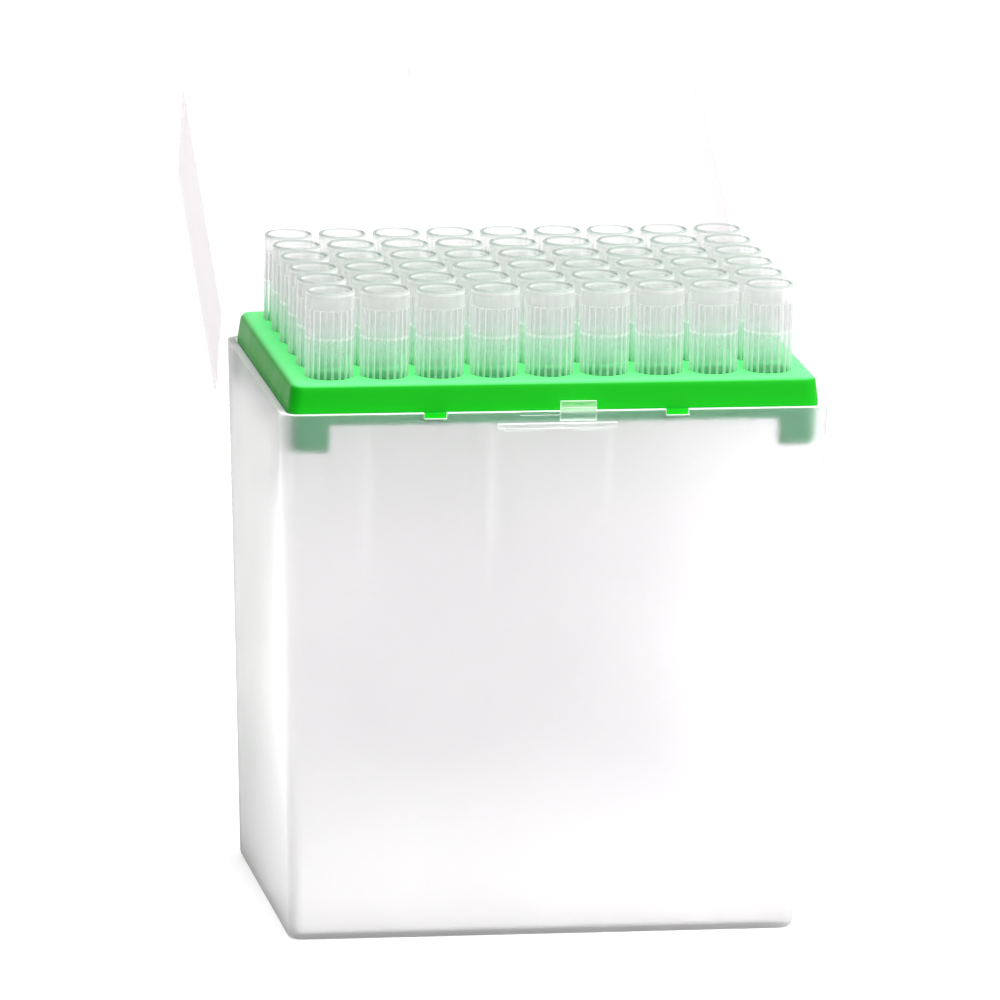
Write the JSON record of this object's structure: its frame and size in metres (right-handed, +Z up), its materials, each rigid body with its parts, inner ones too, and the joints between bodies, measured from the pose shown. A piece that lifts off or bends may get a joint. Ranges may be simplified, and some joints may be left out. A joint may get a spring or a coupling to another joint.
{
  "type": "pipette tip box",
  "caption": "Tall drafted storage box with a hinged clear lid and a rack plate that holds ribbed pipette tips upright in a grid.",
  "frame": {"origin": "middle of the box's underside", "axes": "+Z up out of the box, front with the catch and clip toward -Y, hinge along the rear rim at +Y"},
  "size_m": [0.15, 0.2157, 0.2124],
  "materials": {
    "frosted_polypropylene": "satin",
    "clear_polypropylene": "gloss",
    "green_polypropylene": "satin",
    "tip_polypropylene": "gloss"
  },
  "bodies": {
    "box": {"base_box": "frosted_polypropylene", "tip_rack": "green_polypropylene", "tip_a1": "tip_polypropylene", "tip_a2": "tip_polypropylene", "tip_a3": "tip_polypropylene", "tip_a4": "tip_polypropylene", "tip_a5": "tip_polypropylene", "tip_a6": "tip_polypropylene", "tip_a7": "tip_polypropylene", "tip_a8": "tip_polypropylene", "tip_a9": "tip_polypropylene", "tip_b1": "tip_polypropylene", "tip_b2": "tip_polypropylene", "tip_b3": "tip_polypropylene", "tip_b4": "tip_polypropylene", "tip_b5": "tip_polypropylene", "tip_b6": "tip_polypropylene", "tip_b7": "tip_polypropylene", "tip_b8": "tip_polypropylene", "tip_b9": "tip_polypropylene", "tip_c1": "tip_polypropylene", "tip_c2": "tip_polypropylene", "tip_c3": "tip_polypropylene", "tip_c4": "tip_polypropylene", "tip_c5": "tip_polypropylene", "tip_c6": "tip_polypropylene", "tip_c7": "tip_polypropylene", "tip_c8": "tip_polypropylene", "tip_c9": "tip_polypropylene", "tip_d1": "tip_polypropylene", "tip_d2": "tip_polypropylene", "tip_d3": "tip_polypropylene", "tip_d4": "tip_polypropylene", "tip_d5": "tip_polypropylene", "tip_d6": "tip_polypropylene", "tip_d7": "tip_polypropylene", "tip_d8": "tip_polypropylene", "tip_d9": "tip_polypropylene", "tip_e1": "tip_polypropylene", "tip_e2": "tip_polypropylene", "tip_e3": "tip_polypropylene", "tip_e4": "tip_polypropylene", "tip_e5": "tip_polypropylene", "tip_e6": "tip_polypropylene", "tip_e7": "tip_polypropylene", "tip_e8": "tip_polypropylene", "tip_e9": "tip_polypropylene", "tip_f1": "tip_polypropylene", "tip_f2": "tip_polypropylene", "tip_f3": "tip_polypropylene", "tip_f4": "tip_polypropylene", "tip_f5": "tip_polypropylene", "tip_f6": "tip_polypropylene", "tip_f7": "tip_polypropylene", "tip_f8": "tip_polypropylene", "tip_f9": "tip_polypropylene"},
    "lid": {"lid": "clear_polypropylene"}
  },
  "joints": [
    {"name": "lid_hinge", "type": "hinge", "parent": "box", "child": "lid", "pos_m": [0, 0.0549, 0.1477], "axis": [1, 0, 0], "range_deg": [0, 149]}
  ]
}
